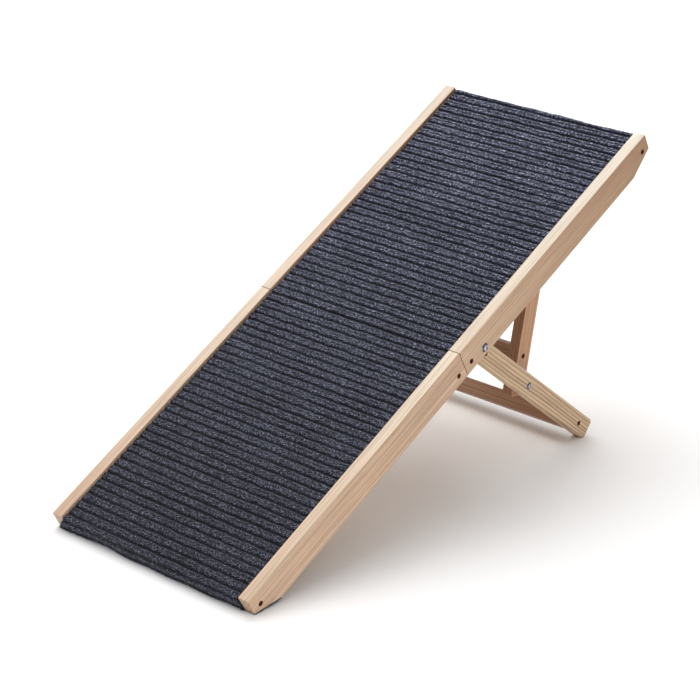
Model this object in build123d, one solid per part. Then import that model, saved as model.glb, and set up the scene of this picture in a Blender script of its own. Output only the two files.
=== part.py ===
from build123d import *
from math import cos, radians, sin
import os

os.makedirs("parts", exist_ok=True)

# A folding dog ramp, drawn first in its own flat frame and then tilted onto the floor.
# In that frame X is across, Y runs up the slope from the low end (0) to the high end,
# and Z is square to the walking surface, with 0 on the top edges of the side rails.

# ---- overall sizes, mm ----
length = 1000.0
width = 400.0
tilt = 28.0
seam = length / 2
seam_gap = 1.2

# ---- side rails ----
rail_thick = 20.0
rail_depth = 47.0
rail_round = 2.0
rail_ease = 0.8
end_face = 27.0
end_taper = 52.0
nose_face = 26.0
nose_cut = 22.5
half = width / 2
inner = half - rail_thick

# ---- deck, carpet, cross members ----
carpet_recess = 3.5
carpet_thick = 6.0
flap_thick = 3.0
flap_bend = 4.5
low_flap_proud = 3.0
high_flap_proud = 1.5
low_flap_end = -25.5
high_flap_end = -25.0
rib_pitch = length / 67
groove_half = 1.4
groove_depth = 1.6
deck_thick = 5.0
deck_groove = 4.0
deck_end_gap = 0.5
deck_top = -(carpet_recess + carpet_thick)
deck_under = deck_top - deck_thick
side_gap = 0.3
end_bar = 24.0
seam_bar = 30.0
end_bar_low = -32.0
nose_bar_low = -34.0
rebate = 6.0
screw_from_end = 16.0

# ---- foot pads ----
pad_thick = 2.5
pad_inset = 1.0
pad_pressed = 0.5
pad_side_gap = 0.5

# ---- leg frame: along its own length from the pivot bolt, and across ----
pivot_u = 549.0
pivot_w = -35.0
leg_turn = -66.0
leg_wide = 33.0
leg_thick = 18.0
leg_gap = 4.5
leg_outer = inner - leg_gap
leg_inner = leg_outer - leg_thick
foot_round = 6.0
leg_screw_sink = 5.0
leg_bar_at = (44.0, 360.0)
leg_bar_long = 22.0
leg_bar_low = -14.5
leg_bar_high = 10.0

# ---- brace frame: along its own length from its pivot on the leg ----
brace_at = 185.0
brace_turn = 51.0
strut_wide = 30.0
strut_thick = 18.0
strut_tail = 22.0
strut_reach = 228.0
strut_taper_from = 140.0
strut_tip = 8.5
strut_gap = 1.0
strut_clip = 4.0
strut_tip_run = 30.0
brace_screw_w = 1.0
brace_screw_sink = 4.0
strut_outer = leg_inner - strut_gap
strut_inner = strut_outer - strut_thick
brace_bar_from = 27.5
brace_bar_to = 57.5
brace_bar_thick = 18.0
dowel_radius = 5.0
dowel_socket = 8.0

# ---- notched racks under the upper deck ----
rack_centre = 121.0
rack_thick = 18.0
rack_from = 745.0
rack_to = 905.0
rack_low = -27.0
rack_pitch = 32.0
rack_notches = 4
rack_slope_to = 70.0
rack_tooth_drop = 0.8
rack_screw_in = (9.0, 10.0)

# ---- pivot bolts ----
leg_bolt = 4.0
leg_head = 7.25
leg_head_high = 4.4
leg_socket = 2.9
leg_nut = 7.3
leg_spacer = 9.0
brace_bolt = 3.0
brace_head = 5.5
brace_head_high = 3.5
brace_socket = 2.2
brace_nut_corners = 5.6
brace_washer_radius = 8.0
socket_deep = 2.0
running = 0.075
snug = 0.03
face_gap = 0.3

# ---- seam hinges ----
hinge_centre = 100.0
hinge_wide = 44.0
hinge_leaf = 22.0
hinge_plate = 1.3
hinge_drop = 1.5
knuckle_radius = 2.5
knuckle_edges = (-22.0, -8.0, 8.0, 22.0)
hinge_pin = 1.25
hinge_clear = 3.2
knuckle_gap = 0.15
pin_clear = 0.05
hinge_w = -rail_depth - hinge_drop

# ---- wood screws ----
screw_shank = 1.95
screw_head = 3.7
counterbore = 4.0
counterbore_deep = 6.0
screw_long = 40.0
screw_cone = 2.4
screw_point = 4.0
screw_tip = 0.3
slot_wide = 0.8
small_head = 2.6
small_shank = 1.4
leg_counterbore = 3.9
bar_ease = 1.5

# ---- where the slope frame stands on the floor ----
tilt_cos = cos(radians(tilt))
tilt_sin = sin(radians(tilt))
cut_cos = cos(radians(nose_cut))
cut_sin = sin(radians(nose_cut))
nose_slope = cut_sin / cut_cos


def on_cut(along, below):
    """A point under the cut at the low end, this far below the sawn face."""
    return (along - below * cut_sin, -nose_face - along * nose_slope - below * cut_cos)


lowest_u, lowest_w = on_cut(pad_inset, pad_thick)
low_z = -(lowest_u * tilt_sin + lowest_w * tilt_cos) - pad_pressed
middle_y = ((length + high_flap_proud) * tilt_cos - high_flap_end * tilt_sin) / 2
placing = Pos(0, -middle_y, low_z) * Rot(tilt, 0, 0)
upright = (Align.CENTER, Align.CENTER, Align.MIN)
hanging = (Align.CENTER, Align.CENTER, Align.MAX)


def prism(points, x_from, x_to):
    """A side profile of (along, up) points, drawn out from x_from to x_to."""
    face = make_face(Plane.YZ * Polyline(*points, close=True))
    return Pos(x_from, 0, 0) * extrude(face, x_to - x_from, dir=(1, 0, 0))


def rod(radius, x_from, x_to, along=0.0, up=0.0):
    """A round bar lying across, from x_from to x_to."""
    bar = Cylinder(radius, x_to - x_from, align=upright)
    return Pos(x_from, along, up) * Rot(0, 90, 0) * bar


def block(x_from, x_to, along_from, along_to, low, high):
    size = (x_to - x_from, along_to - along_from, high - low)
    middle = ((x_from + x_to) / 2, (along_from + along_to) / 2, (low + high) / 2)
    return Pos(*middle) * Box(*size)


def other_side(shape):
    return mirror(shape, about=Plane.YZ)


def group(shapes):
    return Compound(list(shapes))


def save(name, shape):
    """Stand a sub-part on the floor with the rest and write its STEP file."""
    export_step(placing * shape, f"parts/{name}.step")


def save_pair(name, shape):
    save(f"{name}_right", shape)
    save(f"{name}_left", other_side(shape))


def screw(head, shank, long):
    """A countersunk cross-slot screw pointing down, its head's flat at 0."""
    cone = Cone(shank, head, screw_cone, align=hanging)
    stem_long = long - screw_point
    stem = Cylinder(shank, stem_long, align=hanging)
    point = Cone(screw_tip, shank, screw_point, align=hanging)
    slot = Box(head * 1.1, slot_wide, screw_cone)
    body = cone + stem + Pos(0, 0, -stem_long) * point
    return body - slot - Rot(0, 0, 90) * slot


def side_screw(along, up, x_head, long=screw_long):
    """A screw driven inwards from the right."""
    return Pos(x_head, along, up) * Rot(0, 90, 0) * screw(screw_head, screw_shank, long)


def side_pilot(along, up, x_head, long=screw_long):
    bore = rod(screw_shank + snug, x_head - long, x_head, along, up)
    sink = Pos(x_head, along, up) * Rot(0, 90, 0)
    head = Cone(screw_shank + snug, screw_head + snug, screw_cone, align=hanging)
    return bore + sink * head


def under_screw(x, along, face_w, long, head=small_head, shank=small_shank):
    """A screw driven upwards through a face that looks down."""
    return Pos(x, along, face_w) * Rot(180, 0, 0) * screw(head, shank, long)


def under_pilot(x, along, face_w, long, head=small_head, shank=small_shank):
    sink = Cone(shank + snug, head + snug, screw_cone, align=hanging)
    bore = Cylinder(shank + snug, long, align=hanging)
    return Pos(x, along, face_w) * Rot(180, 0, 0) * (sink + bore)


def long_edges(shape, at_x, at_z):
    """Edges that run along Y at the given x and z."""
    lines = shape.edges().filter_by(Axis.Y)
    return [e for e in lines if abs(e.center().X - at_x) < 0.01 and abs(e.center().Z - at_z) < 0.01]


def eased_rail(profile):
    """A right-hand rail with its top edges rounded over and its bottom edges eased."""
    rail = prism(profile, inner, half)
    rail = fillet(long_edges(rail, half, 0), rail_round)
    rail = fillet(long_edges(rail, inner, 0), rail_ease)
    rail = fillet(long_edges(rail, half, -rail_depth), rail_ease)
    return fillet(long_edges(rail, inner, -rail_depth), rail_ease)


def rail_bores(places):
    cuts = []
    for along, up in places:
        x_head = half - counterbore_deep
        cuts.append(rod(counterbore, x_head, half + 1, along, up))
        cuts.append(side_pilot(along, up, x_head))
    return cuts


def less(shape, cuts):
    for cut in cuts:
        shape = shape - cut
    return shape


def deck_slot(along_from, along_to):
    x_to = inner + deck_groove + 0.1
    return block(inner - 1, x_to, along_from, along_to, deck_under - 0.1, deck_top + 0.1)


# ================= rails, cross members, deck =================
nose_run = (rail_depth - nose_face) / nose_slope
half_gap = seam_gap / 2
low_inset = flap_thick - low_flap_proud
high_inset = flap_thick - high_flap_proud
bar_far = end_bar + high_inset
deck_from = bar_far - rebate
slot_from = deck_from - deck_end_gap

lower_profile = [
    (0, 0),
    (seam - half_gap, 0),
    (seam - half_gap, -rail_depth),
    (nose_run, -rail_depth),
    (0, -nose_face),
]
upper_profile = [
    (seam + half_gap, 0),
    (length, 0),
    (length, -end_face),
    (length - end_taper, -rail_depth),
    (seam + half_gap, -rail_depth),
]
end_screw_w = -21.5
seam_screw_w = -32.0
lower_places = [(screw_from_end, end_screw_w), (seam - screw_from_end, seam_screw_w)]
upper_places = [(seam + screw_from_end, seam_screw_w), (length - screw_from_end, end_screw_w)]

lower_slot = deck_slot(slot_from, seam)
lower_rail = less(eased_rail(lower_profile), rail_bores(lower_places) + [lower_slot])
save_pair("lower_rail", lower_rail)

upper_slot = deck_slot(seam, length - slot_from)
pivot_bore = rod(leg_bolt + snug, inner - 1, half + 1, pivot_u, pivot_w)
upper_rail = less(eased_rail(upper_profile), rail_bores(upper_places) + [upper_slot, pivot_bore])
save_pair("upper_rail", upper_rail)

lower_screws = [side_screw(u, w, half - counterbore_deep) for u, w in lower_places]
upper_screws = [side_screw(u, w, half - counterbore_deep) for u, w in upper_places]
save("lower_rail_screws", group(lower_screws + [other_side(s) for s in lower_screws]))
save("upper_rail_screws", group(upper_screws + [other_side(s) for s in upper_screws]))


def crossed(profile, places):
    """A cross member between the rails, bored for the screws in both its ends."""
    bar = prism(profile, -inner, inner)
    for along, up in places:
        bore = side_pilot(along, up, half - counterbore_deep)
        bar = bar - bore - other_side(bore)
    return bar


def flipped(profile):
    """The same side profile, turned end for end about the seam."""
    return [(length - u, w) for u, w in profile]


bevel_u = (-nose_bar_low - nose_face) / nose_slope
nose_profile = [
    (low_inset, deck_top),
    (deck_from, deck_top),
    (deck_from, deck_under),
    (bar_far, deck_under),
    (bar_far, nose_bar_low),
    (bevel_u, nose_bar_low),
    (low_inset, -nose_face - low_inset * nose_slope),
]
taper_high = (rail_depth - end_face) / end_taper
end_bevel_u = (-end_bar_low - end_face) / taper_high
end_profile = flipped(
    [
        (high_inset, deck_top),
        (deck_from, deck_top),
        (deck_from, deck_under),
        (bar_far, deck_under),
        (bar_far, end_bar_low),
        (end_bevel_u, end_bar_low),
        (high_inset, -end_face - high_inset * taper_high),
    ]
)
seam_inset = 1.0
knuckle_relief = 3.0
seam_profile = [
    (seam - seam_inset, deck_under),
    (seam - seam_inset, -rail_depth + knuckle_relief),
    (seam - seam_inset - knuckle_relief, -rail_depth),
    (seam - seam_inset - seam_bar, -rail_depth),
    (seam - seam_inset - seam_bar, deck_under),
]
save("lower_nose_crossbar", crossed(nose_profile, lower_places[:1]))
save("upper_end_crossbar", crossed(end_profile, upper_places[1:]))

hinge_screw_x = (-14.0, 14.0)
hinge_screw_u = 13.0
hinge_screw_long = 14.0
hinge_face = -rail_depth - hinge_plate


def hinge_screw_places(side):
    """Screw positions of both hinges' leaves; side is -1 below the seam and 1 above it."""
    at_u = seam + side * hinge_screw_u
    return [(centre + x, at_u) for centre in (-hinge_centre, hinge_centre) for x in hinge_screw_x]


lower_pilots = [under_pilot(x, u, hinge_face, hinge_screw_long) for x, u in hinge_screw_places(-1)]
upper_pilots = [under_pilot(x, u, hinge_face, hinge_screw_long) for x, u in hinge_screw_places(1)]
save("lower_seam_crossbar", less(crossed(seam_profile, lower_places[1:]), lower_pilots))
save("upper_seam_crossbar", less(crossed(flipped(seam_profile), upper_places[:1]), upper_pilots))

deck_half = inner + deck_groove
lower_deck = block(-deck_half, deck_half, deck_from, seam - deck_end_gap, deck_under, deck_top)
save("lower_deck", lower_deck)

# ================= ribbed carpets =================


def carpet_profile(flap_low, proud):
    """Side profile of the lower carpet: down over the nose, then ribs up to the seam."""
    top = -carpet_recess
    face = -proud
    back = flap_thick - proud
    far = seam - deck_end_gap - 0.1
    points = [(face, flap_low), (back, flap_low), (back, deck_top), (far, deck_top), (far, top)]
    count = int((far - flap_bend) / rib_pitch)
    for n in range(count, 0, -1):
        middle = far - (count - n + 0.5) * rib_pitch
        points.append((middle + groove_half, top))
        points.append((middle + groove_half / 3, top - groove_depth))
        points.append((middle - groove_half / 3, top - groove_depth))
        points.append((middle - groove_half, top))
    for step in range(7):
        turn = radians(90 + 15 * step)
        across, up = flap_bend * cos(turn), flap_bend * sin(turn)
        points.append((face + flap_bend + across, top - flap_bend + up))
    return points


carpet_half = inner - side_gap
low_profile = carpet_profile(low_flap_end, low_flap_proud)
high_profile = flipped(carpet_profile(high_flap_end, high_flap_proud))
save("lower_carpet", prism(low_profile, -carpet_half, carpet_half))
save("upper_carpet", prism(high_profile, -carpet_half, carpet_half))

# ================= foot pads =================
pad_run = nose_run - pad_inset
pressed_run = pad_pressed / (tilt_sin - tilt_cos * nose_slope)
pressed_face = pad_thick - pad_pressed / (tilt_cos * cut_cos + tilt_sin * cut_sin)
pad_points = [
    on_cut(pad_inset, 0),
    on_cut(pad_run, 0),
    on_cut(pad_run, pad_thick),
    on_cut(pad_inset + pressed_run, pad_thick),
    on_cut(pad_inset, pressed_face),
]
save_pair("foot_pad", prism(pad_points, inner + pad_side_gap, half - pad_side_gap))

# ================= notched racks =================
seat_u = pivot_u + brace_at * cos(radians(leg_turn)) + strut_reach * cos(radians(brace_turn))
seat_w = pivot_w + brace_at * sin(radians(leg_turn)) + strut_reach * sin(radians(brace_turn))
notch = dowel_radius + face_gap
lip = seat_w + notch - rack_tooth_drop
rack_points = [
    (rack_from, deck_under),
    (rack_to, deck_under),
    (rack_to, rack_low),
    (seat_u + rack_slope_to, rack_low),
    (seat_u + notch, lip),
    (seat_u, rack_low),
    (rack_from, rack_low),
]
rack = prism(rack_points, rack_centre - rack_thick / 2, rack_centre + rack_thick / 2)
for n in range(rack_notches):
    at_u = seat_u + n * rack_pitch
    rack = rack - rod(notch, rack_centre - rack_thick, rack_centre + rack_thick, at_u, seat_w)
    mouth = block(
        rack_centre - rack_thick, rack_centre + rack_thick, at_u - notch, at_u + notch, rack_low - 2, seat_w
    )
    rack = rack - mouth
rack_screw_long = 13.5
rack_screws = [(rack_centre, rack_from + rack_screw_in[0]), (rack_centre, rack_to - rack_screw_in[1])]
rack_pilots = [under_pilot(x, u, rack_low, rack_screw_long) for x, u in rack_screws]
save_pair("height_rack", less(rack, rack_pilots))
right_rack_screws = [under_screw(x, u, rack_low, rack_screw_long) for x, u in rack_screws]
save("rack_screws", group(right_rack_screws + [other_side(s) for s in right_rack_screws]))

upper_deck = block(-deck_half, deck_half, seam + deck_end_gap, length - deck_from, deck_under, deck_top)
save("upper_deck", less(upper_deck, rack_pilots + [other_side(p) for p in rack_pilots]))

# ================= seam hinges =================


def hinge_half(side, own):
    """One leaf with its own knuckles, on the seam axis; side is -1 below the seam, 1 above it."""
    near, far = sorted((side * hinge_clear, side * hinge_leaf))
    plate_low = hinge_drop - hinge_plate
    leaf = block(-hinge_wide / 2, hinge_wide / 2, near, far, plate_low, hinge_drop)
    for n in own:
        x_from = knuckle_edges[n] + knuckle_gap
        x_to = knuckle_edges[n + 1] - knuckle_gap
        bridge_from, bridge_to = sorted((0.0, side * (hinge_clear + 0.5)))
        leaf = leaf + block(x_from, x_to, bridge_from, bridge_to, plate_low, hinge_drop)
        leaf = leaf + rod(knuckle_radius, x_from, x_to)
    return leaf - rod(hinge_pin + pin_clear, -hinge_wide, hinge_wide)


for label, centre in (("left", -hinge_centre), ("right", hinge_centre)):
    seat = Pos(centre, seam, hinge_w)
    save(f"hinge_{label}_upper_leaf", less(seat * hinge_half(1, (1,)), upper_pilots))
    save(f"hinge_{label}_lower_leaf", less(seat * hinge_half(-1, (0, 2)), lower_pilots))
    save(f"hinge_{label}_pin", seat * rod(hinge_pin, -hinge_wide / 2, hinge_wide / 2))

save(
    "hinge_screws_lower",
    group([under_screw(x, u, hinge_face, hinge_screw_long) for x, u in hinge_screw_places(-1)]),
)
save(
    "hinge_screws_upper",
    group([under_screw(x, u, hinge_face, hinge_screw_long) for x, u in hinge_screw_places(1)]),
)

# ================= pivot bolts =================


def dome_head(radius, high, socket):
    """A domed bolt head standing on 0 and looking along +Z, with a hexagon socket."""
    ball = (radius * radius + high * high) / (2 * high)
    dome = Pos(0, 0, high - ball) * Sphere(ball)
    cap = dome & Cylinder(radius, high, align=upright)
    recess = Pos(0, 0, high - socket_deep) * extrude(RegularPolygon(socket, 6), high)
    return cap - recess


def across_bolt(radius, head, high, socket, x_face, x_end, along=0.0, up=0.0):
    """A bolt from the right: head on x_face, thread end at x_end."""
    cap = Pos(x_face, along, up) * Rot(0, 90, 0) * dome_head(head, high, socket)
    return cap + rod(radius, x_end, x_face + 0.2, along, up)


def lock_nut(across_corners, high, bore, x_from, along=0.0, up=0.0):
    """A hexagon nut with a rounded collar, from x_from inwards."""
    flats_high = 0.7 * high
    flats = extrude(RegularPolygon(across_corners, 6), flats_high)
    collar = Cylinder(0.72 * across_corners, high - flats_high, align=upright)
    nut = flats + Pos(0, 0, flats_high) * collar - Cylinder(bore, 4 * high)
    return Pos(x_from, along, up) * Rot(0, -90, 0) * nut


def ring(outer_radius, bore, x_from, x_to, along=0.0, up=0.0):
    return rod(outer_radius, x_from, x_to, along, up) - rod(bore, x_from - 1, x_to + 1, along, up)


leg_nut_high = 6.5
leg_nut_from = leg_inner - face_gap
leg_bolt_end = leg_nut_from - leg_nut_high
pivot_bolt = across_bolt(
    leg_bolt, leg_head, leg_head_high, leg_socket, half, leg_bolt_end, pivot_u, pivot_w
)
save("leg_pivot_bolts", group([pivot_bolt, other_side(pivot_bolt)]))
pivot_nut = lock_nut(leg_nut, leg_nut_high, leg_bolt + snug, leg_nut_from, pivot_u, pivot_w)
save("leg_pivot_nuts", group([pivot_nut, other_side(pivot_nut)]))
pivot_spacer = ring(leg_spacer, leg_bolt + snug, leg_outer + face_gap, inner, pivot_u, pivot_w)
save("leg_pivot_spacers", group([pivot_spacer, other_side(pivot_spacer)]))

# ================= leg frame, drawn along +Y from its pivot =================
standing = Pos(0, pivot_u, pivot_w) * Rot(leg_turn, 0, 0)
world_leg = radians(-(tilt + leg_turn))
pivot_z = low_z + pivot_u * tilt_sin + pivot_w * tilt_cos
corner_in = leg_wide / 2 - foot_round
to_corner = (pivot_z - corner_in * cos(world_leg) - foot_round) / sin(world_leg)
leg_long = to_corner + foot_round


def rounded_bar(near, far, low, high, thick_from, thick_to, round_near, round_far):
    """A flat bar along Y whose four corners, seen from the side, are rounded."""
    bar = block(thick_from, thick_to, near, far, low, high)
    lines = bar.edges().filter_by(Axis.X)
    bar = fillet([e for e in lines if abs(e.center().Y - near) < 0.01], round_near)
    lines = bar.edges().filter_by(Axis.X)
    return fillet([e for e in lines if abs(e.center().Y - far) < 0.01], round_far)


leg_half = leg_wide / 2
head_round = leg_half - 0.1
leg = rounded_bar(
    0.05 - leg_half, leg_long, -leg_half, leg_half, leg_inner, leg_outer, head_round, foot_round
)
leg_screw_x = leg_outer - leg_screw_sink
leg_cuts = [
    rod(leg_bolt + running, leg_inner - 1, leg_outer + 1),
    rod(brace_bolt + snug, leg_inner - 1, leg_outer + 1, brace_at, 0),
]
leg_screws = []
for at in leg_bar_at:
    leg_cuts.append(rod(leg_counterbore, leg_screw_x, leg_outer + 1, at, 0))
    leg_cuts.append(side_pilot(at, 0, leg_screw_x))
    leg_screws.append(side_screw(at, 0, leg_screw_x))
leg_right = standing * less(leg, leg_cuts)
save_pair("leg", leg_right)
for label, at in zip(("top", "bottom"), leg_bar_at):
    bar_from = at - leg_bar_long / 2
    bar = block(-leg_inner, leg_inner, bar_from, bar_from + leg_bar_long, leg_bar_low, leg_bar_high)
    bar = fillet(bar.edges().filter_by(Axis.X), bar_ease)
    bore = side_pilot(at, 0, leg_screw_x)
    save(f"leg_{label}_crossbar", standing * (bar - bore - other_side(bore)))
leg_screws = leg_screws + [other_side(s) for s in leg_screws]
save("leg_frame_screws", standing * group(leg_screws))

brace_nut_from = strut_inner - face_gap
brace_nut_high = 5.0
brace_end = brace_nut_from - brace_nut_high
brace_pin = across_bolt(
    brace_bolt, brace_head, brace_head_high, brace_socket, leg_outer, brace_end, brace_at, 0
)
save("brace_pivot_bolts", standing * group([brace_pin, other_side(brace_pin)]))
brace_nut = lock_nut(brace_nut_corners, brace_nut_high, brace_bolt + snug, brace_nut_from, brace_at, 0)
save("brace_pivot_nuts", standing * group([brace_nut, other_side(brace_nut)]))
brace_washer = ring(brace_washer_radius, brace_bolt + snug, strut_outer + face_gap, leg_inner, brace_at, 0)
save("brace_pivot_washers", standing * group([brace_washer, other_side(brace_washer)]))

# ================= brace frame, drawn along +Y from its pivot =================
brace_u = pivot_u + brace_at * cos(radians(leg_turn))
brace_w = pivot_w + brace_at * sin(radians(leg_turn))
leaning = Pos(0, brace_u, brace_w) * Rot(brace_turn, 0, 0)
strut_half = strut_wide / 2


def strut_outline():
    """Tail square with clipped corners, front edge tapered, rounded tip around the dowel."""
    clip = strut_clip
    points = [
        (-strut_tail, -strut_half + clip),
        (-strut_tail + clip * 0.3, -strut_half + clip * 0.3),
        (-strut_tail + clip, -strut_half),
        (strut_reach - strut_tip_run, -strut_half),
    ]
    for step in range(13):
        turn = radians(-90 + 15 * step)
        points.append((strut_reach + strut_tip * cos(turn), strut_tip * sin(turn)))
    points.append((strut_taper_from, strut_half))
    points.append((-strut_tail + clip, strut_half))
    points.append((-strut_tail + clip * 0.3, strut_half - clip * 0.3))
    points.append((-strut_tail, strut_half - clip))
    return points


strut = prism(strut_outline(), strut_inner, strut_outer)
brace_mid = (brace_bar_from + brace_bar_to) / 2
brace_bar_low = strut_half - brace_bar_thick
brace_screw_x = strut_outer - brace_screw_sink
strut_cuts = [
    rod(brace_bolt + running, strut_inner - 1, strut_outer + 1),
    rod(leg_counterbore, brace_screw_x, strut_outer + 1, brace_mid, brace_screw_w),
    side_pilot(brace_mid, brace_screw_w, brace_screw_x),
    rod(dowel_radius + snug, strut_inner - 1, strut_inner + dowel_socket, strut_reach, 0),
]
save_pair("brace_strut", leaning * less(strut, strut_cuts))
brace_bar = block(-strut_inner, strut_inner, brace_bar_from, brace_bar_to, brace_bar_low, strut_half)
brace_bar = fillet(brace_bar.edges().filter_by(Axis.X), bar_ease)
bore = side_pilot(brace_mid, brace_screw_w, brace_screw_x)
save("brace_crossbar", leaning * (brace_bar - bore - other_side(bore)))
brace_screw = side_screw(brace_mid, brace_screw_w, brace_screw_x)
save("brace_frame_screws", leaning * group([brace_screw, other_side(brace_screw)]))
dowel_end = strut_inner + dowel_socket - 0.1
save("brace_dowel", leaning * rod(dowel_radius, -dowel_end, dowel_end, strut_reach, 0))
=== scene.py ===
from math import cos, floor, pi, radians, sin

import bpy
from mathutils import Matrix, Vector, noise


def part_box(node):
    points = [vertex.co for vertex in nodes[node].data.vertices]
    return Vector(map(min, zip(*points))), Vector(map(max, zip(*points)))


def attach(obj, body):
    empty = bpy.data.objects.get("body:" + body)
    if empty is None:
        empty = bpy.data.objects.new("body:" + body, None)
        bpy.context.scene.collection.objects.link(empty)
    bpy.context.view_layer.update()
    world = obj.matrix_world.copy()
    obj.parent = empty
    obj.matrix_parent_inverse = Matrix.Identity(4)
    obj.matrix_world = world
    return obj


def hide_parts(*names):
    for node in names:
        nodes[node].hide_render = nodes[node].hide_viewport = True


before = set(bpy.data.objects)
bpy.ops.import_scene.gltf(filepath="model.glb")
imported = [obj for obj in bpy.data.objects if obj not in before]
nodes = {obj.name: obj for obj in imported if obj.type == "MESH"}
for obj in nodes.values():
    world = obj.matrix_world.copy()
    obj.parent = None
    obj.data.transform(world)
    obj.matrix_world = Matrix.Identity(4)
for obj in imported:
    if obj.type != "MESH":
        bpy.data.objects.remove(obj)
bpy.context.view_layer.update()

# ---- the tilted walking surface: X across, u up the slope, w square to it ----
tilt = radians(28.0)
nose_face = 0.026
length = 1.000
seam_u = length / 2
rail_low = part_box("lower_rail_right")[0]
origin_y = rail_low.y
origin_z = rail_low.z + nose_face * cos(tilt)


def on_slope(x, u, w):
    return Vector((x, origin_y + u * cos(tilt) - w * sin(tilt), origin_z + u * sin(tilt) + w * cos(tilt)))


# ================= camera =================
view_from = Vector((2.1511, -2.4600, 1.5469))
view_azimuth = radians(41.406)
view_elevation = radians(22.306)
view_roll = radians(0.92)
view_lens = 119.67


def add_camera():
    back = Vector((
        sin(view_azimuth) * cos(view_elevation),
        -cos(view_azimuth) * cos(view_elevation),
        sin(view_elevation),
    ))
    right = Vector((0, 0, 1)).cross(back).normalized()
    up = back.cross(right)
    turned_right = cos(view_roll) * right + sin(view_roll) * up
    turned_up = cos(view_roll) * up - sin(view_roll) * right
    data = bpy.data.cameras.new("camera")
    data.sensor_width = 36.0
    data.lens = view_lens
    data.clip_start = 0.05
    data.clip_end = 60.0
    camera = bpy.data.objects.new("camera", data)
    turn = Matrix((turned_right, turned_up, back)).transposed().to_4x4()
    camera.matrix_world = Matrix.Translation(view_from) @ turn
    bpy.context.scene.collection.objects.link(camera)
    bpy.context.scene.camera = camera


# ================= small helpers for materials =================


def linear(red, green, blue):
    """A colour given on the usual 0 to 255 scale, as the linear values that shaders take."""
    def one(v):
        v = v / 255.0
        return v / 12.92 if v <= 0.04045 else ((v + 0.055) / 1.055) ** 2.4
    return (one(red), one(green), one(blue), 1.0)


class Nodes:
    """Makes and links the nodes of one material."""

    def __init__(self, name):
        self.material = bpy.data.materials.new(name)
        self.material.use_nodes = True
        self.tree = self.material.node_tree
        self.tree.nodes.clear()
        self.out = self.tree.nodes.new("ShaderNodeOutputMaterial")
        self.shader = self.tree.nodes.new("ShaderNodeBsdfPrincipled")
        self.link(self.shader.outputs[0], self.out.inputs["Surface"])

    def link(self, a, b):
        self.tree.links.new(a, b)

    def set(self, socket, value):
        if isinstance(value, bpy.types.NodeSocket):
            self.link(value, socket)
        else:
            socket.default_value = value

    def where(self):
        return self.tree.nodes.new("ShaderNodeTexCoord").outputs["Object"]

    def facing(self, direction):
        """How squarely the surface faces along a fixed direction of the piece, either way."""
        normal = self.tree.nodes.new("ShaderNodeTexCoord").outputs["Normal"]
        node = self.tree.nodes.new("ShaderNodeVectorMath")
        node.operation = "DOT_PRODUCT"
        self.link(normal, node.inputs[0])
        node.inputs[1].default_value = direction
        return self.math("ABSOLUTE", node.outputs["Value"])

    def between(self, share, a, b):
        """A plain blend of two colours given as three numbers each, which may be above one."""
        step = tuple(q - p for p, q in zip(a, b))
        return self.vector("ADD", self.vector("SCALE", step, share), a)

    def along_y(self, vector):
        node = self.tree.nodes.new("ShaderNodeSeparateXYZ")
        self.link(vector, node.inputs[0])
        return node.outputs["Y"]

    def math(self, kind, a, b=0.0, clamp=False):
        node = self.tree.nodes.new("ShaderNodeMath")
        node.operation = kind
        node.use_clamp = clamp
        self.set(node.inputs[0], a)
        self.set(node.inputs[1], b)
        return node.outputs[0]

    def vector(self, kind, a, b=(0, 0, 0)):
        node = self.tree.nodes.new("ShaderNodeVectorMath")
        node.operation = kind
        self.set(node.inputs[0], a)
        if kind == "SCALE":
            self.set(node.inputs["Scale"], b)
        else:
            self.set(node.inputs[1], b)
        return node.outputs["Value"] if kind in ("LENGTH", "DISTANCE") else node.outputs["Vector"]

    def placed(self, vector, location, rotation):
        node = self.tree.nodes.new("ShaderNodeMapping")
        self.link(vector, node.inputs["Vector"])
        node.inputs["Location"].default_value = location
        node.inputs["Rotation"].default_value = rotation
        return node.outputs[0]

    def noise(self, vector, scale, detail=2.0, rough=0.5, colour=False):
        node = self.tree.nodes.new("ShaderNodeTexNoise")
        self.link(vector, node.inputs["Vector"])
        node.inputs["Scale"].default_value = scale
        node.inputs["Detail"].default_value = detail
        node.inputs["Roughness"].default_value = rough
        return node.outputs["Color" if colour else "Fac"]

    def cells(self, vector, scale):
        node = self.tree.nodes.new("ShaderNodeTexVoronoi")
        self.link(vector, node.inputs["Vector"])
        node.inputs["Scale"].default_value = scale
        return node.outputs["Distance"]

    def ramp(self, value, stops, smooth=False):
        node = self.tree.nodes.new("ShaderNodeValToRGB")
        self.link(value, node.inputs[0])
        ramp = node.color_ramp
        ramp.interpolation = "EASE" if smooth else "LINEAR"
        while len(ramp.elements) < len(stops):
            ramp.elements.new(0.5)
        for element, (at, colour) in zip(ramp.elements, stops):
            element.position = at
            if isinstance(colour, (int, float)):
                colour = (colour, colour, colour, 1.0)
            element.color = colour
        return node.outputs[0]

    def mix(self, share, a, b, kind="MIX"):
        node = self.tree.nodes.new("ShaderNodeMix")
        node.data_type = "RGBA"
        node.blend_type = kind
        colours = [s for s in node.inputs if s.type == "RGBA"]
        self.set(node.inputs[0], share)
        self.set(colours[0], a)
        self.set(colours[1], b)
        return [s for s in node.outputs if s.type == "RGBA"][0]

    def bump(self, height, strength, distance):
        node = self.tree.nodes.new("ShaderNodeBump")
        node.inputs["Strength"].default_value = strength
        node.inputs["Distance"].default_value = distance
        self.link(height, node.inputs["Height"])
        self.link(node.outputs[0], self.shader.inputs["Normal"])

    def put(self, **values):
        for name, value in values.items():
            self.set(self.shader.inputs[name.replace("_", " ").title()], value)


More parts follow.
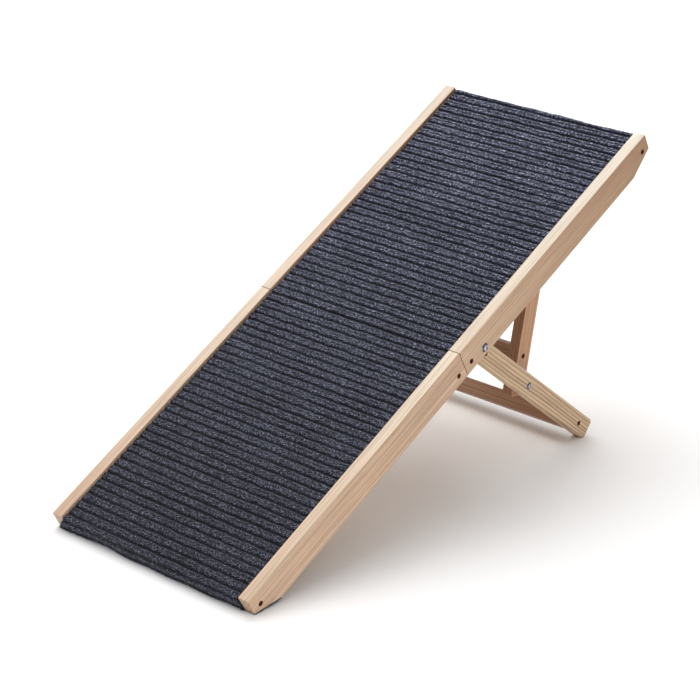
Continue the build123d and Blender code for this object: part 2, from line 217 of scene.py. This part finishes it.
# ================= wood =================
pale_early = linear(224, 197, 166)
pale_late = linear(188, 146, 112)
leg_early = linear(224, 191, 150)
leg_late = linear(142, 98, 58)
# the struts' and racks' redder wood: partly its own colour, partly painted shade for the shade under the
# ramp
dim_shaded_early = linear(200, 153, 114)
dim_shaded_late = linear(152, 102, 68)
rosy = linear(196, 148, 120)
# the crossbars' darker, redder wood: partly its own colour, partly painted shade for the shade under the
# ramp
shaded_bar_early = linear(156, 117, 87)
shaded_bar_late = linear(114, 76, 50)
drilled = linear(122, 78, 50)
end_grain = linear(178, 152, 128)
# tones of the rails' narrow edges and wide faces at the low end, the seam and the high end:
# they hold part of the light on the ramp as well as the wood's own colour
edge_tones = ((0.86, 0.82, 0.80), (0.95, 1.05, 1.15), (1.00, 1.24, 1.48))
face_tones = ((1.08, 1.04, 1.04), (0.96, 0.88, 0.82), (0.60, 0.455, 0.32))
# the struts' narrow edges are darkened as painted shade from the ramp above them; their wide faces keep a
# tint of the wood's own colour
strut_shaded_edge, strut_face = (0.62, 0.58, 0.54), (1.02, 0.96, 0.86)
strut_light_and_wood_tones = ((strut_shaded_edge, strut_shaded_edge), (strut_face, strut_face))
# the far rail's upper edge towards the high end, paler partly as painted light
far_edge_tone = (0.84, 0.93, 1.04)


def wood_frame(name, angle, across):
    """The turn that lays a piece's grain along Y, and the piece's middle after that turn."""
    turn = Matrix.Rotation(-angle, 3, "X")
    if across:
        turn = Matrix.Rotation(pi / 2, 3, "Z") @ turn
    spots = [turn @ v.co for v in nodes[name].data.vertices]
    low = Vector(map(min, zip(*spots)))
    high = Vector(map(max, zip(*spots)))
    return (low + high) / 2, turn


def wood(
    name, angle, pith, ring, early, late,
    contrast=1.0, across=False, seed=0.0, warm=0.3, holes=(), light_and_wood_tones=None, cut=0.75,
):
    """Softwood with its rings round a pith beside the piece, which runs along it at the angle.
    holes are points on the middle lines of the sunk screw holes, whose walls are darker.
    The tones of the narrow edges and of the wide side faces at both ends of the piece are partly the wood's
    own colour and partly painted light and shade, from how the light falls on each face.
    cut is how much the end grain darkens the sawn ends."""
    m = Nodes("wood_" + name)
    middle, turn = wood_frame(name, angle, across)
    rotation = (-angle, 0.0, pi / 2 if across else 0.0)
    spot = m.placed(m.where(), tuple(-middle), rotation)
    seeded = m.vector("ADD", spot, (seed * 1.37, seed * 2.11, seed * 0.83))
    # slow wander of the rings along the piece
    slow = m.noise(m.vector("MULTIPLY", seeded, (9.0, 1.6, 9.0)), 1.0, 2.0, 0.5, colour=True)
    drift = m.vector("SCALE", m.vector("SUBTRACT", slow, (0.5, 0.5, 0.5)), 0.020)
    fine = m.noise(m.vector("MULTIPLY", seeded, (120.0, 9.0, 120.0)), 1.0, 2.0, 0.5, colour=True)
    ripple = m.vector("SCALE", m.vector("SUBTRACT", fine, (0.5, 0.5, 0.5)), 0.0016)
    moved = m.vector("ADD", m.vector("ADD", spot, drift), ripple)
    radial = m.vector("MULTIPLY", m.vector("SUBTRACT", moved, (pith[0], 0.0, pith[1])), (1.0, 0.0, 1.0))
    rings = m.math("DIVIDE", m.vector("LENGTH", radial), ring)
    year = m.math("FRACT", rings)
    band = m.ramp(year, [(0.0, 0.35), (0.06, 0.02), (0.45, 0.08), (0.78, 0.55), (0.93, 1.0), (1.0, 0.35)])
    # each year's band is a little stronger or weaker than the next
    which = m.noise(m.vector("ADD", radial, (seed, seed, seed)), 70.0, 1.0, 0.5)
    strong = m.ramp(which, [(0.3, 0.45), (0.7, 1.0)])
    share = m.math("MULTIPLY", m.math("MULTIPLY", band, strong), contrast, clamp=True)
    body = m.mix(share, early, late)
    # fibres, and short darker resin flecks along the grain
    fibre = m.noise(m.vector("MULTIPLY", seeded, (1500.0, 28.0, 1500.0)), 1.0, 3.0, 0.6)
    fibre_tone = m.ramp(fibre, [(0.25, 0.86), (0.75, 1.08)])
    body = m.mix(0.55, body, fibre_tone, "MULTIPLY")
    streak = m.noise(m.vector("MULTIPLY", seeded, (420.0, 7.0, 420.0)), 1.0, 2.0, 0.6)
    body = m.mix(0.8, body, m.ramp(streak, [(0.34, 0.68), (0.60, 1.03)]), "MULTIPLY")
    fleck = m.noise(m.vector("MULTIPLY", seeded, (520.0, 11.0, 520.0)), 1.0, 1.0, 0.5)
    fleck_share = m.ramp(fleck, [(0.62, 0.0), (0.74, 0.5)])
    body = m.mix(fleck_share, body, late)
    # broad patches of warmer heartwood
    patch = m.noise(m.vector("MULTIPLY", seeded, (52.0, 1.5, 52.0)), 1.0, 2.0, 0.5)
    patch_share = m.ramp(patch, [(0.40, 0.0), (0.66, warm)], smooth=True)
    body = m.mix(patch_share, body, rosy)
    # the narrow edges and wide faces take tones graded along the piece, partly painted light and shade and
    # partly the wood's own colour
    if light_and_wood_tones:
        (edge_low, edge_high), (face_low, face_high) = light_and_wood_tones
        along = m.math("ADD", m.math("MULTIPLY", m.along_y(spot), 1.0 / seam_u), 0.5, clamp=True)
        side_share = m.ramp(m.facing((1.0, 0.0, 0.0)), [(0.5, 0.0), (0.85, 1.0)])
        edge_tone = m.between(along, edge_low, edge_high)
        face_tone = m.between(along, face_low, face_high)
        apart = m.vector("SUBTRACT", face_tone, edge_tone)
        tone = m.vector("ADD", edge_tone, m.vector("MULTIPLY", apart, side_share))
        body = m.vector("MULTIPLY", body, tone)
    grain = (1.0, 0.0, 0.0) if across else (0.0, cos(angle), sin(angle))
    cut_share = m.ramp(m.facing(grain), [(0.35, 0.0), (0.75, 1.0)])
    body = m.mix(m.math("MULTIPLY", cut_share, cut), body, end_grain, "MULTIPLY")
    for hole in holes:
        local = turn @ hole - middle
        aside = m.vector("MULTIPLY", m.vector("SUBTRACT", spot, tuple(local)), (0.0, 1.0, 1.0))
        rim = m.ramp(m.math("MULTIPLY", m.vector("LENGTH", aside), 100.0), [(0.405, 1.0), (0.44, 0.0)])
        body = m.mix(rim, body, drilled)
    rough = m.ramp(fibre, [(0.3, 0.36), (0.7, 0.52)])
    relief = m.math("ADD", m.math("MULTIPLY", share, -0.35), m.math("MULTIPLY", fibre, 0.5))
    m.put(base_color=body, roughness=rough)
    m.shader.inputs["Specular IOR Level"].default_value = 0.6
    m.bump(relief, 0.35, 0.0004)
    return m.material


# ================= metals and rubber =================


def metal(name, colour, dark, metallic, rough_low, rough_high, grain, bump, dark_reflection_heads=()):
    """Each domed head is given as a point on its axis and its radius; its rim is darkened as a painted dark
    reflection and shade.
    """
    m = Nodes(name)
    spot = m.where()
    cloud = m.noise(spot, grain, 3.0, 0.55)
    tone = m.ramp(cloud, [(0.3, dark), (0.62, colour)])
    spots = m.noise(spot, grain * 6.0, 2.0, 0.6)
    tone = m.mix(m.ramp(spots, [(0.62, 0.0), (0.8, 0.4)]), tone, dark)
    # a painted dark reflection and shade round the rim of each domed head
    for middle, radius in dark_reflection_heads:
        aside = m.vector("MULTIPLY", m.vector("SUBTRACT", spot, tuple(middle)), (0.0, 1.0, 1.0))
        out = m.math("DIVIDE", m.vector("LENGTH", aside), radius)
        rim = m.ramp(out, [(0.60, 0.0), (0.74, 0.8), (0.90, 0.8), (0.98, 0.2)])
        tone = m.mix(rim, tone, linear(34, 30, 28))
    m.put(base_color=tone, roughness=m.ramp(cloud, [(0.3, rough_low), (0.75, rough_high)]))
    m.shader.inputs["Metallic"].default_value = metallic
    m.bump(spots, bump, 0.0002)
    return m.material


def rubber(name):
    m = Nodes(name)
    spot = m.where()
    pebble = m.cells(spot, 1400.0)
    dust = m.noise(spot, 60.0, 3.0, 0.6)
    tone = m.ramp(dust, [(0.35, linear(20, 20, 22)), (0.75, linear(46, 45, 46))])
    m.put(base_color=tone, roughness=m.ramp(dust, [(0.3, 0.6), (0.7, 0.82)]))
    m.bump(pebble, 0.5, 0.0003)
    return m.material


# ================= carpet =================
rib_pitch = length / 67
rib_start = -0.01
lower_pitch = 0.99 * rib_pitch
carpet_top = -0.0035
deck_top = -0.0095
bend = 0.0045
flap_thick = 0.003
low_flap_proud = 0.003
high_flap_proud = 0.0015
low_flap_end = -0.0255
high_flap_end = -0.0250
flap_spread_left = 0.015
flap_spread_right = 0.002
main_groove_half = 0.0046
main_groove_deep = 0.0035
half_groove_half = 0.0027
half_groove_deep = 0.0017
# the grooves' depth by their rise up the slope: its share where the rise is nothing, and its growth
main_share, main_growth = 0.68, 0.36
half_share, half_growth = 0.45, 0.75
row_step = 0.00095
column_step = 0.0021
edge_drop = 0.0004
edge_soft = 0.0035
floor_clear = 0.0004
seam_gap_half = 0.0006
hem_long, hem_thin = 0.012, 0.0011
flap_sway, sway_long = 0.0046, 0.03
deepest = 0.0036
ragged_edge = 0.0004
back_gap = 0.0001
side_pile = 0.4
# the pile's tone by its rise up the slope: where the rise is nothing, which is a little below the
# low end, then its growth, and how the growth bows upwards
tone_low, tone_slope, tone_bow = 0.38, 0.33, 0.65


def bowl(distance, half, deep):
    """A rounded groove: how far the pile drops at this distance from its middle."""
    if distance >= half:
        return 0.0
    return deep * (0.5 + 0.5 * cos(pi * distance / half))


def pile_drop(x, along, half_wide, pitch):
    """How far the pile lies below its top at x across and this far from the seam, and how deep the grooves
    lie there, which sets the painted shade in them.
    """
    wander = 0.0007 * noise.noise(Vector((x * 14.0, along * 9.0, 3.1)))
    wander += 0.0013 * noise.noise(Vector((x * 75.0, along * 60.0, 7.7)))
    phase = (along + wander) / pitch + rib_start
    phase -= floor(phase)
    to_main = min(phase, 1.0 - phase) * pitch
    to_half = abs(phase - 0.5) * pitch
    strength = 0.95 + 0.25 * noise.noise(Vector((x * 12.0, along * 33.0, 1.3)))
    rise = (seam_u - along) / length
    drop = bowl(to_main, main_groove_half, main_groove_deep * (main_share + main_growth * rise) * strength)
    drop += bowl(to_half, half_groove_half, half_groove_deep * (half_share + half_growth * rise) * strength)
    side = half_wide - abs(x)
    if side < edge_soft:
        drop += edge_drop * (1.0 - side / edge_soft) ** 2
    tuft = noise.noise(Vector((x * 330.0, along * 620.0, 0.5))) * 0.00042
    tuft += noise.noise(Vector((x * 150.0, along * 260.0, 9.5))) * 0.00030
    return drop + tuft, drop


def carpet(name, node, upper, body):
    """A ribbed carpet on one panel: up over the panel's end and along the deck to the seam."""
    low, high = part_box(node)
    half_wide = (high.x - low.x) / 2
    flap_end = high_flap_end if upper else low_flap_end
    face = -high_flap_proud if upper else -low_flap_proud
    far = seam_u - seam_gap_half
    flap_long = (carpet_top - bend) - flap_end
    arc_long = bend * pi / 2
    flat_long = far - face - bend
    total = flap_long + arc_long + flat_long
    rows = int(total / row_step) + 1
    columns = int(2 * half_wide / column_step) + 1

    def outer(s):
        """Place and outward direction (u, w, du, dw) of the pile's top at s along the carpet."""
        if s < flap_long:
            return face, flap_end + s, -1.0, 0.0
        if s < flap_long + arc_long:
            turn = (s - flap_long) / bend
            across, up = bend - bend * cos(turn), bend * sin(turn) - bend
            return face + across, carpet_top + up, -cos(turn), sin(turn)
        return face + bend + s - flap_long - arc_long, carpet_top, 0.0, 1.0

    def backing(s):
        back = face + flap_thick - back_gap
        if s < flap_long:
            return back, flap_end + s / flap_long * (deck_top - flap_end)
        if s < flap_long + arc_long:
            return back + (face + bend - back) * (s - flap_long) / arc_long, deck_top
        return face + bend + s - flap_long - arc_long, deck_top

    def spread(x, s):
        """The lower flap was cut a little wide and lies over the rails' end faces."""
        if upper:
            return x
        share = max(0.0, 1.0 - s / (flap_long + 0.3 * arc_long))
        side = max(0.0, abs(x) / half_wide - 0.6) / 0.4
        return x + share * side * (flap_spread_right if x > 0 else -flap_spread_left)

    def real_u(u):
        return length - u if upper else u

    points, faces, pile = [], [], []
    top_index, back_index = [], []
    for i in range(rows + 1):
        s = total * i / rows
        u, w, du, dw = outer(s)
        from_seam = total - s
        row = []
        hem = max(0.0, 1.0 - s / hem_long)
        loose = max(0.0, 1.0 - s / sway_long)
        for j in range(columns + 1):
            x = -half_wide + 2 * half_wide * j / columns
            along = -from_seam if upper else from_seam
            drop, groove_shade_depth = pile_drop(x, along, half_wide, rib_pitch if upper else lower_pitch)
            drop += hem_thin * hem * hem
            sway = flap_sway * (0.5 + noise.noise(Vector((x * 15.0, 0.0, 5.0 + upper)))) * loose
            lift = sway - min(drop, deepest)
            at_u, at_w = u + du * lift, w + dw * lift
            if i == 0:
                at_w += ragged_edge * noise.noise(Vector((x * 60.0, 2.0, 1.0)))
            ragged = 0.0
            if j in (0, columns):
                ragged = ragged_edge * (noise.noise(Vector((s * 400.0, x, 4.0))) - 0.5)
            row.append(len(points))
            place = on_slope(spread(x, s) + (ragged if j else -ragged), real_u(at_u), at_w)
            place.z = max(place.z, floor_clear)
            points.append(place)
            pile.append(1.0 - min(1.0, groove_shade_depth / main_groove_deep))
        top_index.append(row)
        u, w = backing(s)
        pair = []
        for x in (-half_wide, half_wide):
            pair.append(len(points))
            points.append(on_slope(spread(x, s), real_u(u), w))
            pile.append(side_pile)
        back_index.append(pair)
    back_faces = []
    for i in range(rows):
        a, b = top_index[i], top_index[i + 1]
        for j in range(columns):
            faces.append((a[j], a[j + 1], b[j + 1], b[j]))
        c, d = back_index[i], back_index[i + 1]
        faces.append((c[0], a[0], b[0], d[0]))
        faces.append((a[-1], c[1], d[1], b[-1]))
        back_faces.append(len(faces))
        faces.append((c[0], d[0], d[1], c[1]))
    faces.append(tuple([back_index[0][0], back_index[0][1]] + top_index[0][::-1]))
    faces.append(tuple(top_index[-1] + [back_index[-1][1], back_index[-1][0]]))
    if upper:
        faces = [f[::-1] for f in faces]
    mesh = bpy.data.meshes.new(name)
    mesh.from_pydata([tuple(p) for p in points], [], faces)
    layer = mesh.attributes.new("pile", "FLOAT", "POINT")
    layer.data.foreach_set("value", pile)
    mesh.materials.append(carpet_pile)
    mesh.materials.append(carpet_back)
    for f in back_faces:
        mesh.polygons[f].material_index = 1
    mesh.polygons.foreach_set("use_smooth", [True] * len(mesh.polygons))
    mesh.update()
    piece = bpy.data.objects.new(name, mesh)
    bpy.context.scene.collection.objects.link(piece)
    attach(piece, body)
    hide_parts(node)
    return piece


def pile_material():
    m = Nodes("carpet_pile")
    spot = m.where()
    level = m.placed(spot, (0.0, 0.0, 0.0), (-tilt, 0.0, 0.0))
    fibres = m.noise(m.vector("MULTIPLY", level, (300.0, 950.0, 950.0)), 1.0, 3.0, 0.7)
    tone = m.ramp(fibres, [
        (0.37, linear(14, 15, 23)),
        (0.47, linear(40, 42, 55)),
        (0.55, linear(70, 73, 89)),
        (0.645, linear(204, 210, 236)),
    ])
    clump = m.noise(m.vector("MULTIPLY", level, (120.0, 260.0, 260.0)), 1.0, 2.0, 0.5)
    tone = m.mix(0.5, tone, m.ramp(clump, [(0.3, 0.62), (0.7, 1.3)]), "MULTIPLY")
    broad = m.noise(spot, 14.0, 2.0, 0.5)
    tone = m.mix(0.6, tone, m.ramp(broad, [(0.3, 0.85), (0.7, 1.12)]), "MULTIPLY")
    # painted shade in the grooves: the lower the pile stands, the darker its colour
    pile = m.tree.nodes.new("ShaderNodeAttribute")
    pile.attribute_name = "pile"
    depth = m.ramp(pile.outputs["Fac"], [
        (0.0, linear(36, 38, 54)),
        (0.45, linear(106, 108, 126)),
        (0.88, 1.0),
    ])
    tone = m.mix(1.0, tone, depth, "MULTIPLY")
    # the tone grows from the low end to the high end, and holds part of the light on the ramp
    rise = m.math("ADD", m.along_y(level), 0.5, clamp=True)
    growth = m.math("ADD", m.math("MULTIPLY", rise, tone_bow), tone_slope)
    tone = m.vector("SCALE", tone, m.math("ADD", m.math("MULTIPLY", rise, growth), tone_low))
    m.put(base_color=tone, roughness=m.ramp(fibres, [(0.3, 0.85), (0.7, 0.98)]))
    m.shader.inputs["Specular IOR Level"].default_value = 0.15
    m.shader.inputs["Sheen Weight"].default_value = 0.12
    m.shader.inputs["Sheen Roughness"].default_value = 0.5
    m.bump(m.math("ADD", fibres, m.math("MULTIPLY", clump, 0.6)), 0.8, 0.0012)
    return m.material


def back_material():
    m = Nodes("carpet_backing")
    spot = m.where()
    weave = m.cells(spot, 700.0)
    tone = m.ramp(weave, [(0.1, linear(34, 34, 40)), (0.6, linear(66, 66, 72))])
    m.put(base_color=tone, roughness=m.ramp(weave, [(0.1, 0.75), (0.6, 0.92)]))
    m.bump(weave, 0.6, 0.0005)
    return m.material


# ================= dressing the CAD nodes =================


def dress(name, material):
    node = nodes[name]
    node.data.materials.clear()
    node.data.materials.append(material)


# the legs and struts, as turns from the slope
leg_turn, strut_turn = radians(-66.0), radians(51.0)
leg_angle, strut_angle = tilt + leg_turn, tilt + strut_turn
pivot_u, pivot_w = 0.549, -0.035
brace_at = 0.185
leg_head, brace_head = 0.00725, 0.0055


def on_leg(along):
    return pivot_u + along * cos(leg_turn), pivot_w + along * sin(leg_turn)


def on_strut(along, out):
    """A point on the middle line of a strut, this far from its pivot, and out towards its front edge."""
    u, w = on_leg(brace_at)
    u += along * cos(strut_turn) - out * sin(strut_turn)
    return u, w + along * sin(strut_turn) + out * cos(strut_turn)


leg_holes = [on_slope(0.0, *on_leg(along)) for along in (0.044, 0.360)]
strut_holes = [on_slope(0.0, *on_strut(0.0425, 0.001))]
lower_holes = [on_slope(0.2, 0.016, -0.0215), on_slope(0.2, 0.484, -0.032)]
upper_holes = [on_slope(0.2, 0.516, -0.032), on_slope(0.2, 0.984, -0.0215)]


def dress_wood():
    rail = dict(angle=tilt, early=pale_early, late=pale_late)
    low_rail = dict(rail, light_and_wood_tones=(edge_tones[:2], face_tones[:2]), cut=0.2)
    high_rail = dict(rail, light_and_wood_tones=(edge_tones[1:], face_tones[1:]))
    far_rail = dict(rail, light_and_wood_tones=((edge_tones[1], far_edge_tone), face_tones[1:]))
    leg = dict(angle=leg_angle, early=leg_early, late=leg_late)
    strut = dict(angle=strut_angle, early=dim_shaded_early, late=dim_shaded_late, light_and_wood_tones=strut_light_and_wood_tones)
    long_pieces = (
        ("lower_rail_right", (-0.11, 0.075), 0.0060, 0.75, 1.0, 0.55, lower_holes, low_rail),
        ("upper_rail_right", (0.10, 0.085), 0.0040, 0.75, 2.0, 0.25, upper_holes, high_rail),
        ("lower_rail_left", (0.12, 0.07), 0.0042, 0.7, 3.0, 0.35, lower_holes, low_rail),
        ("upper_rail_left", (-0.09, 0.09), 0.0038, 0.7, 4.0, 0.35, upper_holes, far_rail),
        ("leg_right", (-0.030, 0.085), 0.0050, 1.15, 5.0, 0.1, leg_holes, leg),
        ("leg_left", (0.040, 0.075), 0.0040, 1.15, 6.0, 0.1, leg_holes, leg),
        ("brace_strut_right", (-0.08, 0.05), 0.0044, 0.85, 7.0, 0.25, strut_holes, strut),
        ("brace_strut_left", (0.07, -0.06), 0.0040, 0.85, 8.0, 0.2, strut_holes, strut),
    )
    for name, pith, ring, contrast, seed, warm, holes, kind in long_pieces:
        dress(name, wood(
            name, pith=pith, ring=ring, contrast=contrast, seed=seed, warm=warm, holes=holes, **kind,
        ))
    bars = (
        ("lower_nose_crossbar", tilt, 9.0),
        ("lower_seam_crossbar", tilt, 10.0),
        ("upper_seam_crossbar", tilt, 11.0),
        ("upper_end_crossbar", tilt, 12.0),
        ("leg_top_crossbar", leg_angle, 13.0),
        ("leg_bottom_crossbar", leg_angle, 14.0),
        ("brace_crossbar", strut_angle, 15.0),
        ("brace_dowel", strut_angle, 16.0),
    )
    for name, angle, seed in bars:
        pith = (0.05 + 0.011 * (seed % 3), 0.06 - 0.013 * (seed % 4))
        dress(name, wood(
            name, angle=angle, pith=pith, ring=0.0041, early=shaded_bar_early, late=shaded_bar_late,
            contrast=0.6, across=True, seed=seed, warm=0.15,
        ))
    for side, seed in (("left", 17.0), ("right", 18.0)):
        name = "height_rack_" + side
        dress(name, wood(
            name, angle=tilt, pith=(0.06, -0.05), ring=0.0035, early=dim_shaded_early, late=dim_shaded_late,
            contrast=0.6, seed=seed, warm=0.5,
        ))
    for name, seed in (("lower_deck", 19.0), ("upper_deck", 20.0)):
        dress(name, wood(
            name, angle=tilt, pith=(0.03, -0.45), ring=0.0011, early=linear(232, 208, 174),
            late=linear(202, 166, 122), contrast=0.7, seed=seed, warm=0.4,
        ))


def dress_rest():
    zinc = metal("zinc_steel", linear(196, 198, 200), linear(150, 153, 158), 1.0, 0.28, 0.44, 260.0, 0.25)
    brace_pivot = on_slope(0.0, *on_leg(brace_at))
    dark_reflection_heads = ((on_slope(0.0, pivot_u, pivot_w), leg_head), (brace_pivot, brace_head))
    chrome = metal(
        "bolt_chrome", linear(226, 226, 226), linear(196, 196, 198), 1.0, 0.10, 0.2, 190.0, 0.08, dark_reflection_heads,
    )
    dark = metal("dark_screw", linear(62, 45, 34), linear(34, 25, 20), 0.5, 0.42, 0.6, 300.0, 0.3)
    for name in ("upper_rail_screws", "lower_rail_screws", "leg_frame_screws", "brace_frame_screws"):
        dress(name, dark)
    for name in ("leg_pivot_bolts", "brace_pivot_bolts"):
        dress(name, chrome)
    steel = [n for n in nodes if n.startswith("hinge_") or n.endswith(("_nuts", "_spacers", "_washers"))]
    for name in sorted(steel) + ["rack_screws"]:
        dress(name, zinc)
    pad = rubber("rubber")
    for name in ("foot_pad_left", "foot_pad_right"):
        dress(name, pad)


# ================= floor and light =================


def studio():
    """A pale floor, and a room with a light skirting, darker walls and a brighter ceiling."""
    m = Nodes("floor")
    spot = m.where()
    cloud = m.noise(spot, 1.6, 3.0, 0.5)
    m.put(base_color=m.ramp(cloud, [(0.3, 0.93), (0.7, 0.95)]))
    m.shader.inputs["Roughness"].default_value = 0.9
    m.shader.inputs["Specular IOR Level"].default_value = 0.1
    reach = 14.0
    sunk = -0.0002
    mesh = bpy.data.meshes.new("floor")
    corners = [(-reach, -reach, sunk), (reach, -reach, sunk), (reach, reach, sunk), (-reach, reach, sunk)]
    mesh.from_pydata(corners, [], [(0, 1, 2, 3)])
    mesh.materials.append(m.material)
    ground = bpy.data.objects.new("floor", mesh)
    bpy.context.scene.collection.objects.link(ground)

    world = bpy.data.worlds.new("studio")
    bpy.context.scene.world = world
    world.use_nodes = True
    tree = world.node_tree
    back = tree.nodes["Background"]
    back.inputs["Strength"].default_value = 1.0
    up = tree.nodes.new("ShaderNodeSeparateXYZ")
    tree.links.new(tree.nodes.new("ShaderNodeTexCoord").outputs["Generated"], up.inputs[0])
    walls = tree.nodes.new("ShaderNodeValToRGB")
    tree.links.new(up.outputs["Z"], walls.inputs[0])
    bands = ((0.0, 0.93), (0.09, 0.93), (0.17, 0.20), (0.35, 0.36), (0.6, 0.64))
    while len(walls.color_ramp.elements) < len(bands):
        walls.color_ramp.elements.new(0.5)
    for stop, (height, grey) in zip(walls.color_ramp.elements, bands):
        stop.position = height
        stop.color = (grey, grey, grey * 1.01, 1.0)
    tree.links.new(walls.outputs[0], back.inputs["Color"])
    bpy.context.scene.view_settings.view_transform = "Standard"


def point_lamp(light, aim):
    light.rotation_mode = "QUATERNION"
    light.rotation_quaternion = aim.to_track_quat("Z", "Y")
    bpy.context.scene.collection.objects.link(light)


def far_lamp(name, aim, power, angle, tint=(1.0, 1.0, 1.0)):
    """A wide soft light far away, shining from the direction aim."""
    data = bpy.data.lights.new(name, "SUN")
    data.energy = power
    data.angle = radians(angle)
    data.color = tint
    light = bpy.data.objects.new(name, data)
    light.location = Vector(aim).normalized() * 6.0
    point_lamp(light, Vector(aim))


def panel_lamp(name, place, target, power, size):
    """A large soft panel that faces the target."""
    data = bpy.data.lights.new(name, "AREA")
    data.energy = power
    data.size = size
    light = bpy.data.objects.new(name, data)
    light.location = place
    point_lamp(light, Vector(place) - Vector(target))


def lights():
    far_lamp("key", (-0.42, -0.30, 1.0), 1.15, 60.0, (1.0, 0.99, 0.975))
    far_lamp("side", (1.0, 0.05, 0.45), 0.25, 50.0)
    panel_lamp("overhead", (-1.3, 0.9, 2.2), (0.0, 0.1, 0.3), 45.0, 2.6)


add_camera()
carpet_pile = pile_material()
carpet_back = back_material()
carpet("lower_ribbed_carpet", "lower_carpet", False, "lower_panel")
carpet("upper_ribbed_carpet", "upper_carpet", True, "upper_panel")
dress_wood()
dress_rest()
studio()
lights()
